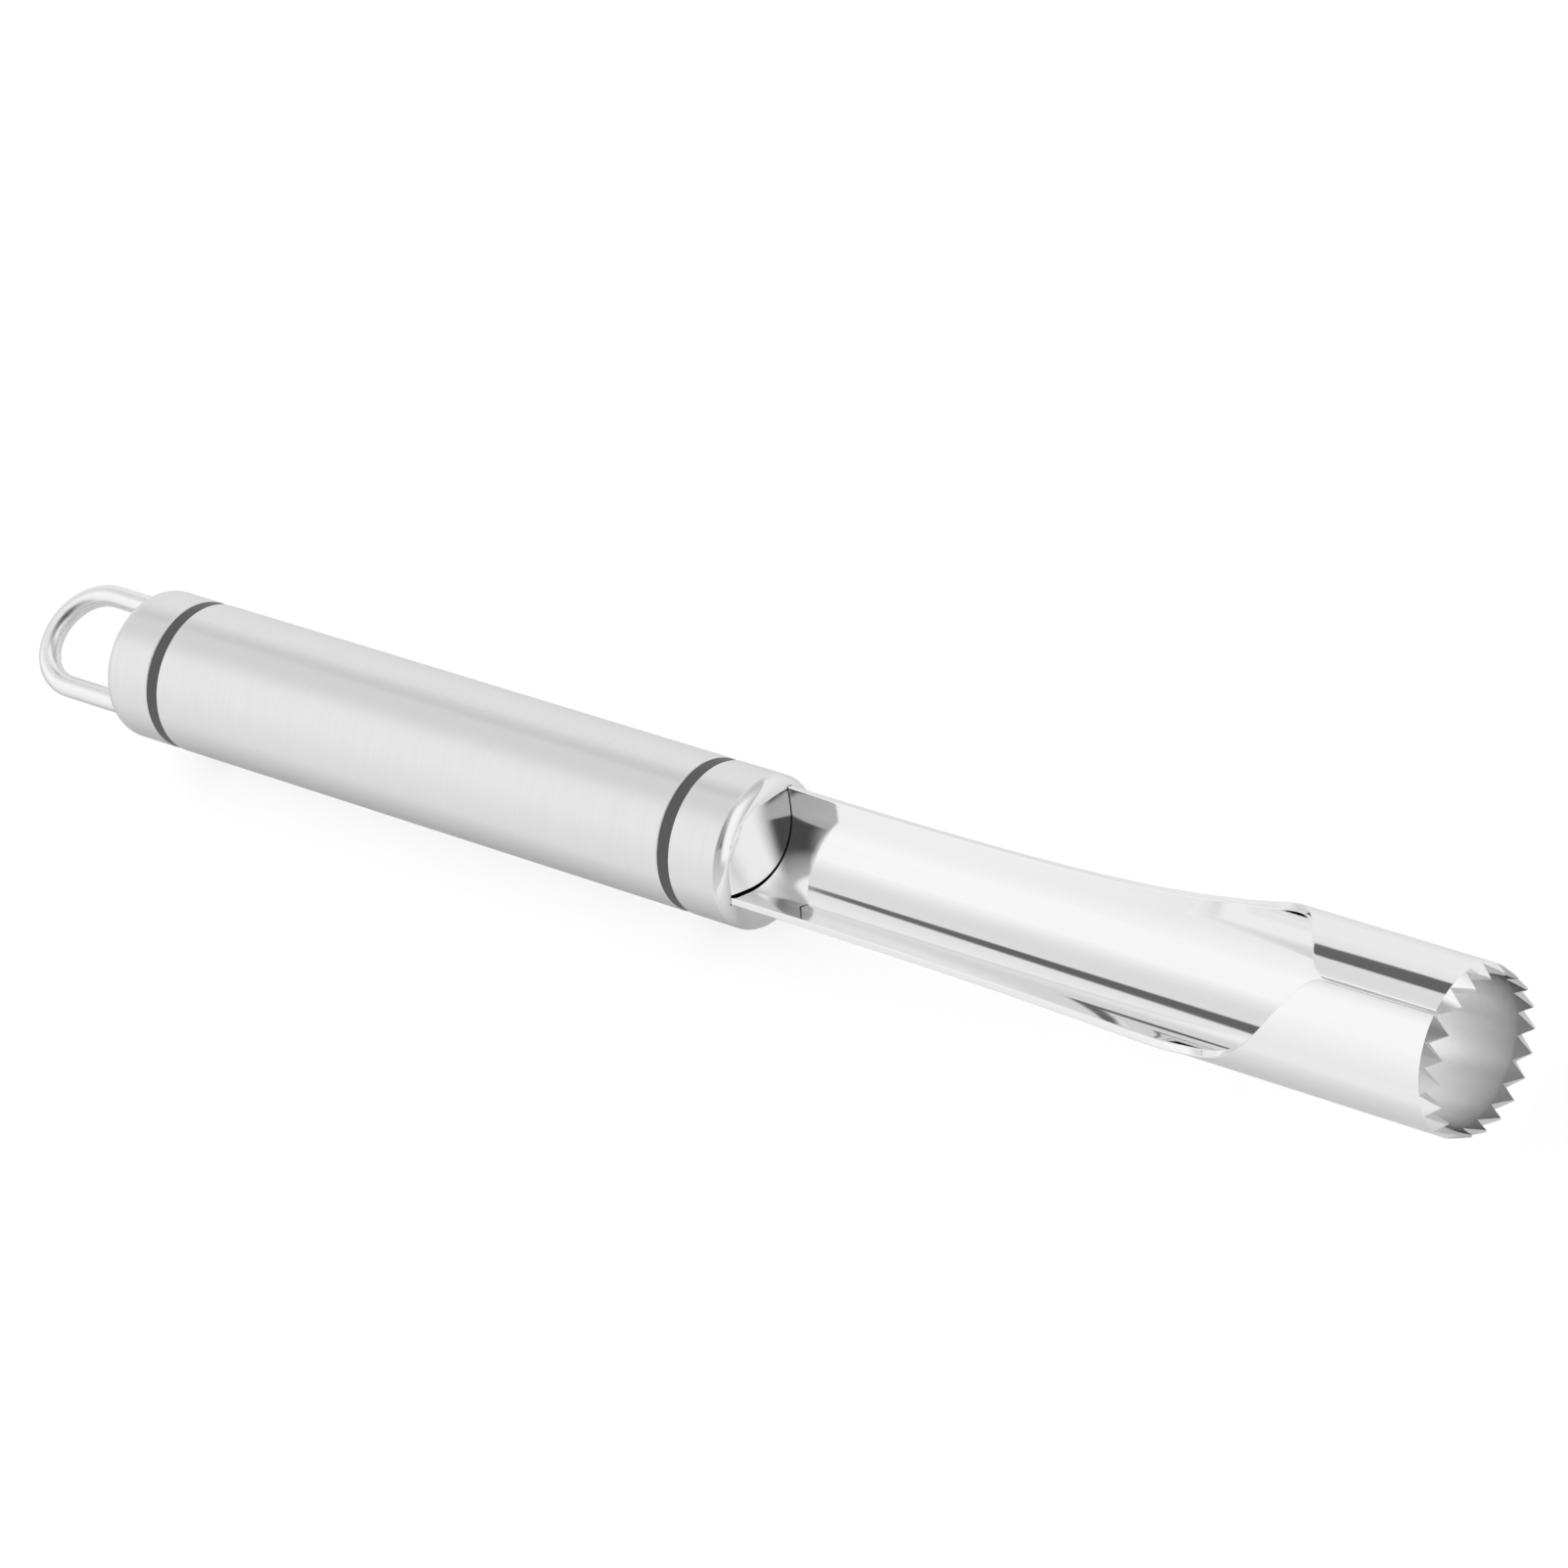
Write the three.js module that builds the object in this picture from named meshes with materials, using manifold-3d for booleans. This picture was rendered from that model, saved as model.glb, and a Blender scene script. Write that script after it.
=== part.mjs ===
// Apple corer: a rolled, toothed steel blade on a round steel handle with a hanging loop.
// Millimetres. +X points from the loop to the teeth, +Z out of the blade's open side.
import * as THREE from "three";
import { mergeVertices } from "three/addons/utils/BufferGeometryUtils.js";
import Module from "manifold-3d";

const wasm = await Module();
wasm.setup();

// Handle
const handleDiameter = 19;
const handleLength = 81.9;
const handleWall = 0.6;
const ringWidth = 1.7;
const ringRecess = 0.1;
const edgeBreak = 0.15;

// Rear cap, its plug and the loop
const capLength = 7.9;
const capWall = 0.8;
const capEndThickness = 1.2;
const capEdgeRadius = 2.1;
const rearPlugDepth = 14;
const wireDiameter = 2.8;
const loopWidth = 15.9;
const loopReach = 18.6;
const legDepth = 17;

// Front ferrule and its plug
const ferruleLength = 9.55;
const ferruleWall = 0.8;
const ferruleBoreDepth = 5;
const ferruleEdgeRadius = 2.1;
const ferruleDomeRadius = 24.5;
const frontPlugDepth = 18;

// Blade: the sheet is cut as a flat blank and rolled, so widths are measured along the sheet
const bladeDiameter = 19.8;
const sheetThickness = 1;
const bladeBackDrop = 1.15;
const bladeReach = 114;
const troughBlankWidth = 17.5;
const closedLength = 18.3;
const flareLength = 80;
const flareHold = 0.76;
const flareTurn = 0.15;
const flareTurnRise = 0.85;
const seamGap = 0.3;
const seamCorner = 1.2;
const toothCount = 20;
const toothDepth = 2.2;
const toothTipThickness = 0.25;
const shoulderSink = 0.8;
const tangBlankWidth = 11.4;
const tangLength = 14;
const pinDiameter = 3;
const pinSetback = 9.5;
const pinRecess = 0.7;

// Fits
const slideFit = 0.2;
const slotFit = 0.3;

// Smoothness of round shapes
const roundSides = 48;
const wireSides = 12;
const arcSteps = 6;
const flareSteps = 14;
const cutOverrun = 1;

// Derived sizes
const handleRadius = handleDiameter / 2;
const wireRadius = wireDiameter / 2;
const legOffset = loopWidth / 2 - wireRadius;
const bladeRadius = bladeDiameter / 2;
const bladeBore = bladeRadius - sheetThickness;
const bladeMiddle = bladeRadius - sheetThickness / 2;
const bladeRise = bladeRadius - bladeBackDrop;
const troughHalfAngle = troughBlankWidth / 2 / bladeMiddle;
const tangHalfAngle = tangBlankWidth / 2 / bladeMiddle;
const closedHalfAngle = Math.PI - seamGap / 2 / bladeMiddle;

// Places along the handle, from the joint between rear cap and rear ring
const handleStart = ringWidth;
const handleEnd = handleStart + handleLength;
const ferruleStart = handleEnd + ringWidth;
const teethEnd = ferruleStart + bladeReach;
const capEnd = -capLength;
const loopEnd = capEnd - loopReach;
const pinPlace = ferruleStart + ferruleBoreDepth - pinSetback;

// A closed geometry as a solid, with shared vertices merged and collapsed triangles dropped
function solidOf(geometry) {
  const bare = new THREE.BufferGeometry();
  bare.setAttribute("position", geometry.getAttribute("position"));
  if (geometry.index) bare.setIndex(geometry.index);
  const merged = mergeVertices(bare, 1e-4);
  const corners = merged.index.array;
  const kept = [];
  for (let i = 0; i < corners.length; i += 3) {
    const [a, b, c] = [corners[i], corners[i + 1], corners[i + 2]];
    if (a !== b && b !== c && a !== c) kept.push(a, b, c);
  }
  const vertProperties = new Float32Array(merged.getAttribute("position").array);
  const triVerts = new Uint32Array(kept);
  return new wasm.Manifold(new wasm.Mesh({ numProp: 3, vertProperties, triVerts }));
}

function geometryOf(solid) {
  const mesh = solid.getMesh();
  const geometry = new THREE.BufferGeometry();
  geometry.setAttribute("position", new THREE.BufferAttribute(mesh.vertProperties, 3));
  geometry.setIndex(new THREE.BufferAttribute(mesh.triVerts, 1));
  return geometry;
}

// The first geometry with the others cut out of it
function cut(geometry, ...tools) {
  const solids = tools.map(solidOf);
  return geometryOf(solids.reduce((rest, tool) => rest.subtract(tool), solidOf(geometry)));
}

// A solid of revolution about X from [x, radius] points, run from the front of the axis to its rear
function revolve(points, sides = roundSides) {
  const differs = ([x, r], i) => i === 0 || x !== points[i - 1][0] || r !== points[i - 1][1];
  const profile = points.filter(differs).map(([x, r]) => new THREE.Vector2(r, x)).reverse();
  return new THREE.LatheGeometry(profile, sides, Math.PI / sides).rotateZ(-Math.PI / 2);
}

// A shape drawn in Y and Z, extruded along X from x = start
function alongX(shape, start, length, curveSegments) {
  const options = { depth: length, bevelEnabled: false, curveSegments };
  const turned = new THREE.ExtrudeGeometry(shape, options).rotateY(Math.PI / 2);
  return turned.rotateX(Math.PI / 2).translate(start, 0, 0);
}

// Points of an arc from one angle to another, as [x, radius], angles measured from the radius
function arc(centreX, centreRadius, radius, from, to, steps = arcSteps) {
  return Array.from({ length: steps + 1 }, (_, i) => {
    const angle = from + ((to - from) * i) / steps;
    return [centreX + radius * Math.sin(angle), centreRadius + radius * Math.cos(angle)];
  });
}

// The slot that a stretch of the rolled sheet slides into
function sheetSlot(halfAngle, start, length) {
  const reach = halfAngle + slotFit / bladeMiddle;
  const [from, to] = [-Math.PI / 2 - reach, -Math.PI / 2 + reach];
  const shape = new THREE.Shape();
  shape.absarc(0, 0, bladeRadius + slotFit, from, to, false);
  shape.absarc(0, 0, bladeBore - slotFit, to, from, true);
  shape.closePath();
  return alongX(shape, start, length, 3 * arcSteps).translate(0, 0, bladeRise);
}

function tubeAlongX(innerRadius, outerRadius, start, end, chamfer) {
  return revolve([
    [end, innerRadius],
    [end, outerRadius - chamfer],
    [end - chamfer, outerRadius],
    [start + chamfer, outerRadius],
    [start, outerRadius - chamfer],
    [start, innerRadius],
    [end, innerRadius],
  ]);
}

const finishes = {
  brushed: { color: 0xc4c5c6, roughness: 0.38, metalness: 1 },
  polished: { color: 0xd6d7d8, roughness: 0.1, metalness: 1 },
  ring: { color: 0x5c5d5f, roughness: 0.55, metalness: 0 },
  core: { color: 0x3c3d3f, roughness: 0.7, metalness: 0 },
};

function piece(name, geometry, finish) {
  geometry.computeVertexNormals();
  const mesh = new THREE.Mesh(geometry, new THREE.MeshStandardMaterial(finishes[finish]));
  mesh.name = name;
  return mesh;
}

function makeHandleTube() {
  const bore = handleRadius - handleWall;
  return piece("handle_tube", tubeAlongX(bore, handleRadius, 0, handleLength, edgeBreak), "brushed");
}

// A ring slides over its plug and lies a little below the steel on both sides of it
function makeRing(name) {
  const bore = handleRadius - handleWall;
  return piece(name, tubeAlongX(bore, handleRadius - ringRecess, 0, ringWidth, 0), "ring");
}

// Rear cap: a drawn cup, open towards the ring, with a flat rear face and two leg holes
function makeRearCap() {
  const bore = handleRadius - capWall;
  const floor = capEnd + capEndThickness;
  const corner = arc(capEnd + capEdgeRadius, handleRadius - capEdgeRadius, capEdgeRadius, 0, -Math.PI / 2);
  const cup = revolve([
    [floor, 0],
    [floor, bore],
    [0, bore],
    [0, handleRadius - edgeBreak],
    [-edgeBreak, handleRadius],
    ...corner,
    [capEnd, 0],
  ]);
  return piece("rear_cap", cut(cup, ...legHoles(capEnd - cutOverrun, floor + cutOverrun)), "brushed");
}

// Two holes along X for the legs of the loop
function legHoles(start, end) {
  const radius = wireRadius + slideFit;
  return [-legOffset, legOffset].map((side) => {
    const hole = revolve([[end, 0], [end, radius], [start, radius], [start, 0]], wireSides);
    return hole.translate(0, side, 0);
  });
}

// Rear plug: seats in the cap and in the handle tube, with blind bores for the legs
function makeRearPlug() {
  const inCap = handleRadius - capWall - slideFit;
  const inHandle = handleRadius - handleWall - slideFit;
  const start = capEnd + capEndThickness;
  const end = handleStart + rearPlugDepth;
  const body = revolve([
    [end, 0],
    [end, inHandle],
    [0, inHandle],
    [0, inCap],
    [start, inCap],
    [start, 0],
  ]);
  const bores = legHoles(start - cutOverrun, capEnd + legDepth + slotFit);
  return piece("rear_plug", cut(body, ...bores), "core");
}

// The loop's centre line: one leg, a half turn, the other leg
class LoopPath extends THREE.Curve {
  getPoint(t, target = new THREE.Vector3()) {
    const turnCentre = loopEnd + wireRadius + legOffset;
    const leg = capEnd + legDepth - turnCentre;
    const along = t * (2 * leg + Math.PI * legOffset);
    const turn = Math.min(Math.max(along - leg, 0), Math.PI * legOffset) / legOffset;
    const onLeg = Math.max(leg - along, along - leg - Math.PI * legOffset, 0);
    const x = turnCentre + onLeg - legOffset * Math.sin(turn);
    return target.set(x, -legOffset * Math.cos(turn), 0);
  }
}

function makeLoop() {
  const wire = new THREE.Shape().absarc(0, 0, wireRadius, 0, 2 * Math.PI, false);
  const path = new LoopPath();
  const options = { steps: Math.round(path.getLength()), extrudePath: path, curveSegments: wireSides / 2 };
  return piece("hanging_loop", new THREE.ExtrudeGeometry(wire, options), "polished");
}

// Centre of the rounded edge where it runs into the ferrule's dome, and the angle where they meet
function ferruleEdge() {
  const reach = ferruleDomeRadius - ferruleEdgeRadius;
  const meet = Math.acos((handleRadius - ferruleEdgeRadius) / reach);
  const domeCentre = ferruleLength - ferruleDomeRadius;
  return { domeCentre, meet, centre: domeCentre + reach * Math.sin(meet) };
}

// Front ferrule: a cup with a domed face and the arc slot for the trough
function makeFerrule() {
  const bore = handleRadius - ferruleWall;
  const { domeCentre, meet, centre } = ferruleEdge();
  const edge = arc(centre, handleRadius - ferruleEdgeRadius, ferruleEdgeRadius, meet, 0);
  const dome = arc(domeCentre, 0, ferruleDomeRadius, Math.PI / 2, meet);
  const cup = revolve([
    ...dome,
    ...edge.slice(1),
    [edgeBreak, handleRadius],
    [0, handleRadius - edgeBreak],
    [0, bore],
    [ferruleBoreDepth, bore],
    [ferruleBoreDepth, 0],
  ]);
  const slotStart = ferruleBoreDepth - cutOverrun;
  const slot = sheetSlot(troughHalfAngle, slotStart, ferruleLength + cutOverrun - slotStart);
  return piece("front_ferrule", cut(cup, slot), "brushed");
}

function pinCut(radius) {
  const length = 2 * handleDiameter;
  return new THREE.CylinderGeometry(radius, radius, length, wireSides).rotateX(Math.PI / 2);
}

// Front plug: seats in the ferrule and in the handle tube, with the tang's slot and the pin's bore
function makeFrontPlug() {
  const inFerrule = handleRadius - ferruleWall - slideFit;
  const inHandle = handleRadius - handleWall - slideFit;
  const end = ferruleBoreDepth;
  const start = -ringWidth - frontPlugDepth;
  const body = revolve([
    [end, 0],
    [end, inFerrule],
    [0, inFerrule],
    [0, inHandle],
    [start, inHandle],
    [start, 0],
  ]);
  const slotLength = tangLength + slotFit + cutOverrun;
  const slot = sheetSlot(tangHalfAngle, end + cutOverrun - slotLength, slotLength);
  const bore = pinCut(pinDiameter / 2 + slideFit).translate(pinPlace - ferruleStart, 0, 0);
  return piece("front_plug", cut(body, slot, bore), "core");
}

function makePin() {
  const length = 2 * (handleRadius - handleWall - slideFit - pinRecess);
  const pin = new THREE.CylinderGeometry(pinDiameter / 2, pinDiameter / 2, length, wireSides);
  return piece("blade_pin", pin.rotateX(Math.PI / 2), "polished");
}

// Rows of the blank from the tang to the tooth roots, as [x, half angle], x from the ferrule's rear
function blankRows() {
  const { meet, centre } = ferruleEdge();
  const shoulder = centre + ferruleEdgeRadius * Math.sin(meet) - shoulderSink;
  const seamStart = bladeReach - closedLength;
  const flareStart = seamStart - flareLength;
  const open = closedHalfAngle - troughHalfAngle;
  const cornerDrop = (flareTurnRise / flareTurn / flareLength) * seamCorner;
  const flare = new THREE.CubicBezierCurve(
    new THREE.Vector2(flareStart, 0),
    new THREE.Vector2(flareStart + flareHold * flareLength, 0),
    new THREE.Vector2(seamStart - flareTurn * flareLength, 1 - flareTurnRise),
    new THREE.Vector2(seamStart - seamCorner, 1 - cornerDrop),
  );
  const corner = new THREE.QuadraticBezierCurve(
    flare.v3,
    new THREE.Vector2(seamStart, 1),
    new THREE.Vector2(seamStart + seamCorner, 1),
  );
  const curve = [...flare.getPoints(flareSteps), ...corner.getPoints(arcSteps).slice(1)];
  return [
    [ferruleBoreDepth - tangLength, tangHalfAngle],
    [ferruleBoreDepth, tangHalfAngle],
    [shoulder, troughHalfAngle],
    ...curve.map((point) => [point.x, troughHalfAngle + point.y * open]),
    [bladeReach - toothDepth, closedHalfAngle],
  ];
}

// Blade: a flat slab with one row of teeth, bent round the blade's axis row by row
function makeBlade() {
  const rows = blankRows();
  const columns = 2 * toothCount;
  const blank = new THREE.BoxGeometry(1, 1, 1, rows.length, columns, 1);
  const spots = blank.getAttribute("position");
  for (let i = 0; i < spots.count; i += 1) {
    const row = Math.round((spots.getX(i) + 0.5) * rows.length);
    const column = Math.round((spots.getY(i) + 0.5) * columns);
    const [x, halfAngle] = rows[Math.min(row, rows.length - 1)];
    const isTip = row === rows.length && column % 2 === 1;
    const thickness = isTip ? toothTipThickness : sheetThickness;
    const angle = ((2 * column) / columns - 1) * halfAngle;
    const radius = bladeBore + (spots.getZ(i) + 0.5) * thickness;
    const place = isTip ? bladeReach : x;
    spots.setXYZ(i, place, -radius * Math.sin(angle), bladeRise - radius * Math.cos(angle));
  }
  const pinHole = pinCut(pinDiameter / 2 + slideFit).translate(pinPlace - ferruleStart, 0, 0);
  return piece("corer_blade", cut(blank, pinHole), "polished");
}

function at(x, ...pieces) {
  const group = new THREE.Group();
  group.position.x = x;
  group.add(...pieces);
  return group;
}

// The part lies on the flat of its handle, with the middle of its length over the origin
const assembly = new THREE.Group();
assembly.position.set(-(teethEnd + loopEnd) / 2, 0, handleRadius * Math.cos(Math.PI / roundSides));
const pin = makePin();
pin.position.x = pinPlace - ferruleStart;
assembly.add(
  at(0, makeRearCap(), makeRearPlug(), makeLoop(), makeRing("rear_ring")),
  at(handleStart, makeHandleTube()),
  at(handleEnd, makeRing("front_ring")),
  at(ferruleStart, makeFerrule(), makeFrontPlug(), makeBlade(), pin),
);

const corer = new THREE.Group();
corer.name = "apple_corer";
corer.add(assembly);

export default corer;
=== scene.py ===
import math

import bmesh
import bpy
from mathutils import Matrix, Quaternion, Vector


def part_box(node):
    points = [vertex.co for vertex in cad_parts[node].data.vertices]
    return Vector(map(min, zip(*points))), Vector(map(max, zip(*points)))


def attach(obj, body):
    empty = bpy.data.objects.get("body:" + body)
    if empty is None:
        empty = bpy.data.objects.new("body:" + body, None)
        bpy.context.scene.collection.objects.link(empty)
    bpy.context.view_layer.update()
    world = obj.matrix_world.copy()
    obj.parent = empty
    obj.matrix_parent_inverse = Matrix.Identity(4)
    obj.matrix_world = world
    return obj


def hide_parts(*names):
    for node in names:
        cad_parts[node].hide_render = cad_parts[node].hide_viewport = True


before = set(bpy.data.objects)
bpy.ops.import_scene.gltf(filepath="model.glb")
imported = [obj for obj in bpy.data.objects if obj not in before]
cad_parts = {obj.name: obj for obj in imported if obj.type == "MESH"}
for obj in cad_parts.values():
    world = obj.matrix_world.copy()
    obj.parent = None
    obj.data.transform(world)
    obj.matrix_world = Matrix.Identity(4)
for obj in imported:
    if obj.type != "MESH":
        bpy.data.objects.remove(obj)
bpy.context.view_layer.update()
scene = bpy.context.scene
scene.view_settings.view_transform = "Standard"
mm = 0.001
tiny = 1e-7
print("frame loaded:", len(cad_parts), "nodes")


# Node helpers

def addNode(tree, kind, **settings):
    node = tree.nodes.new(kind)
    for name, value in settings.items():
        setattr(node, name, value)
    return node


def plug(tree, socket, value):
    if isinstance(value, bpy.types.NodeSocket):
        tree.links.new(value, socket)
    else:
        socket.default_value = value


def calc(tree, operation, *values):
    node = addNode(tree, "ShaderNodeMath", operation=operation)
    for socket, value in zip(node.inputs, values):
        plug(tree, socket, value)
    return node.outputs[0]


def remap(tree, value, fromLow, fromHigh, toLow, toHigh, style="SMOOTHSTEP"):
    node = addNode(tree, "ShaderNodeMapRange", interpolation_type=style, clamp=True)
    for name, item in (("Value", value), ("From Min", fromLow), ("From Max", fromHigh),
                       ("To Min", toLow), ("To Max", toHigh)):
        plug(tree, node.inputs[name], item)
    return node.outputs["Result"]


# from the first value to the second as the share goes from 0 to 1
def mixed(tree, share, first, second):
    return remap(tree, share, 0.0, 1.0, first, second, "LINEAR")


# 1 inside a range of a value and 0 outside, with soft ends
def window(tree, value, low, high, softLow, softHigh):
    rise = remap(tree, value, low - softLow, low + softLow, 0.0, 1.0)
    fall = remap(tree, value, high - softHigh, high + softHigh, 1.0, 0.0)
    return calc(tree, "MULTIPLY", rise, fall)


def splitAxes(tree, vector):
    axes = addNode(tree, "ShaderNodeSeparateXYZ")
    plug(tree, axes.inputs[0], vector)
    return axes.outputs


# a spot's place on its piece, as x, y and z
def objectPlace(tree):
    return splitAxes(tree, addNode(tree, "ShaderNodeTexCoord").outputs["Object"])


def greyFrom(tree, value):
    grey = addNode(tree, "ShaderNodeCombineColor")
    for socket in grey.inputs:
        plug(tree, socket, value)
    return grey.outputs[0]


# Finishes

brushedLook = dict(tone=0.88, toneSpread=0.015, rough=0.33, roughSpread=0.03, anisotropy=0.8,
                   grainTurn=0.25, grainAcross=9000.0, grainAlong=120.0, bump=0.02)
domeLook = dict(tone=0.9, rough=0.055, roughSpread=0.02, cloud=420.0, polishFrom=0.06 * mm,
                polishFull=0.24 * mm)
polishedLook = dict(tone=0.92, toneSpread=0.008, rough=0.055, roughSpread=0.02,
                    grainAcross=2600.0, grainAlong=35.0)
wireLook = dict(polishedLook, rough=0.26, roughSpread=0.025)
# the bore's tone falls to a painted shade near the tooth roots, standing for a darker reflection there
boreLook = dict(tone=0.92, paintedShadeTone=0.42, paintedShadeReach=10 * mm, rough=0.26, satinFrom=-6 * mm,
                satinFull=2 * mm)
cutLook = dict(tone=0.85, rough=0.6)
ringLook = dict(tone=0.105, toneSpread=0.03, rough=0.48, roughSpread=0.12, speckle=9000.0, bump=0.15)
coreLook = dict(tone=0.05, toneSpread=0.02, rough=0.6, roughSpread=0.1, speckle=2500.0, bump=0.15)
noiseSpan = (0.25, 0.75)  # where most of the noise lies
tightSpan = (0.3, 0.7)  # a tighter span gives more contrast
cloudDetail = 3.0  # octaves in cloud and speckle
bumpHeight = 0.02 * mm  # of grain and speckle


def newFinish(name):
    finish = bpy.data.materials.new(name)
    finish.use_nodes = True
    tree = finish.node_tree
    shader = next(n for n in tree.nodes if n.type == "BSDF_PRINCIPLED")
    return finish, tree, shader


# noise stretched along the grain: one scale per axis of the piece
def grainNoise(tree, scales, detail=2.0, roughness=0.6):
    place = addNode(tree, "ShaderNodeTexCoord")
    stretch = addNode(tree, "ShaderNodeMapping")
    stretch.inputs["Scale"].default_value = scales
    tree.links.new(place.outputs["Object"], stretch.inputs["Vector"])
    noise = addNode(tree, "ShaderNodeTexNoise")
    noise.inputs["Scale"].default_value = 1.0
    noise.inputs["Detail"].default_value = detail
    noise.inputs["Roughness"].default_value = roughness
    tree.links.new(stretch.outputs["Vector"], noise.inputs["Vector"])
    return noise.outputs["Fac"]


# a value that wanders round its middle with the noise
def varied(tree, noise, middle, spread, span=noiseSpan):
    return remap(tree, noise, *span, middle - spread, middle + spread, "LINEAR")


def setSurface(tree, shader, tone, rough):
    tree.links.new(greyFrom(tree, tone), shader.inputs["Base Color"])
    tree.links.new(rough, shader.inputs["Roughness"])


def setBump(tree, shader, height, strength):
    bump = addNode(tree, "ShaderNodeBump")
    bump.inputs["Strength"].default_value = strength
    bump.inputs["Distance"].default_value = bumpHeight
    plug(tree, bump.inputs["Height"], height)
    tree.links.new(bump.outputs["Normal"], shader.inputs["Normal"])


# belt-ground steel: grain runs round the axis; polish is the x where a bright zone starts and is full
def makeBrushedSteel(name, polish=None):
    look = brushedLook
    finish, tree, shader = newFinish(name)
    grain = grainNoise(tree, (look["grainAcross"], look["grainAlong"], look["grainAlong"]))
    tone = varied(tree, grain, look["tone"], look["toneSpread"])
    rough = varied(tree, grain, look["rough"], -look["roughSpread"])
    if polish:
        bright = remap(tree, objectPlace(tree)["X"], *polish, 0.0, 1.0)
        cloud = grainNoise(tree, (domeLook["cloud"],) * 3, detail=cloudDetail)
        domeRough = varied(tree, cloud, domeLook["rough"], domeLook["roughSpread"], tightSpan)
        rough = mixed(tree, bright, rough, domeRough)
        tone = mixed(tree, bright, tone, domeLook["tone"])
    setSurface(tree, shader, tone, rough)
    setBump(tree, shader, grain, look["bump"])
    shader.inputs["Metallic"].default_value = 1.0
    shader.inputs["Anisotropic"].default_value = look["anisotropy"]
    shader.inputs["Anisotropic Rotation"].default_value = look["grainTurn"]
    turn = addNode(tree, "ShaderNodeTangent", direction_type="RADIAL", axis="X")
    tree.links.new(turn.outputs[0], shader.inputs["Tangent"])
    return finish


# polished sheet: faint lines along the blade, and where the tube is closed a satin bore that darkens
# towards the tooth roots as painted shade, standing for a darker reflection there; bore is the x of its
# first trace, of full satin and of the roots
def makePolishedSteel(name, look, bore=None):
    finish, tree, shader = newFinish(name)
    grain = grainNoise(tree, (look["grainAlong"], look["grainAcross"], look["grainAcross"]))
    tone = varied(tree, grain, look["tone"], look["toneSpread"])
    rough = varied(tree, grain, look["rough"], look["roughSpread"], tightSpan)
    if bore:
        traceX, fullX, toothX = bore
        x = objectPlace(tree)["X"]
        inside = addNode(tree, "ShaderNodeAttribute", attribute_name="boreSide").outputs["Fac"]
        satin = calc(tree, "MULTIPLY", inside, remap(tree, x, traceX, fullX, 0.0, 1.0))
        # painted shade: the bore darkens over the last stretch before the tooth roots
        paintedShadeShare = remap(tree, x, toothX - boreLook["paintedShadeReach"], toothX, 1.0, 0.0, "LINEAR")
        boreToneWithPaintedShade = mixed(tree, calc(tree, "SQRT", paintedShadeShare), boreLook["paintedShadeTone"], boreLook["tone"])
        cut = addNode(tree, "ShaderNodeAttribute", attribute_name="cutFace").outputs["Fac"]
        rough = mixed(tree, cut, mixed(tree, satin, rough, boreLook["rough"]), cutLook["rough"])
        tone = mixed(tree, cut, mixed(tree, satin, tone, boreToneWithPaintedShade), cutLook["tone"])
    setSurface(tree, shader, tone, rough)
    shader.inputs["Metallic"].default_value = 1.0
    return finish


def makePlastic(name, look):
    finish, tree, shader = newFinish(name)
    speckle = grainNoise(tree, (look["speckle"],) * 3, detail=cloudDetail)
    tone = varied(tree, speckle, look["tone"], look["toneSpread"])
    rough = varied(tree, speckle, look["rough"], look["roughSpread"])
    setSurface(tree, shader, tone, rough)
    setBump(tree, shader, speckle, look["bump"])
    return finish


# Places read from the frame

handleLow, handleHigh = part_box("handle_tube")
capLow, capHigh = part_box("rear_cap")
ferruleLow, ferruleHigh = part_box("front_ferrule")
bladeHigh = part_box("corer_blade")[1]
loopLow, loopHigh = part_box("hanging_loop")
axisZ = (handleLow.z + handleHigh.z) / 2
handleRadius = (handleHigh.z - handleLow.z) / 2
loopMiddleZ = (loopLow.z + loopHigh.z) / 2


# Turned pieces

supportSizes = dict(inset=0.12 * mm, spacing=2.5 * mm, shortest=0.72 * mm)
edgeSteps = 5  # in a small edge round
creaseAngle = math.radians(40)  # an edge that turns more than this stays crisp
faceMatch = math.cos(math.radians(12))  # how well a face has to agree with the exact surface
onFace = 0.1 * mm  # how near a spot has to be to lie on a face
overshoot = 1 * mm  # how far a cutting tool reaches past what it cuts


def meshFrom(name, shell):
    mesh = bpy.data.meshes.new(name)
    shell.to_mesh(mesh)
    shell.free()
    return mesh


def meshObject(name, mesh, material=None):
    made = bpy.data.objects.new(name, mesh)
    scene.collection.objects.link(made)
    if material:
        mesh.materials.append(material)
    return made


# arc points as (x, radius); angles run from the radius towards +X
def arcPoints(centreX, centreRadius, radius, start, end, steps):
    turns = [start + (end - start) * i / steps for i in range(steps + 1)]
    return [(centreX + radius * math.sin(t), centreRadius + radius * math.cos(t)) for t in turns]


# straight runs get extra rings near their ends, so a rounded edge can't tilt the shading of a long side
def withSupport(points):
    sizes = supportSizes
    filled = []
    for (xa, ra), (xb, rb) in zip(points, points[1:]):
        filled.append((xa, ra))
        length = math.hypot(xb - xa, rb - ra)
        if length > sizes["shortest"]:
            share = sizes["inset"] / length
            count = max(1, int(length / sizes["spacing"]))
            stops = [share] + [i / count for i in range(1, count)] + [1 - share]
            filled += [(xa + (xb - xa) * stop, ra + (rb - ra) * stop) for stop in stops]
    return filled + [points[-1]]


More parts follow.
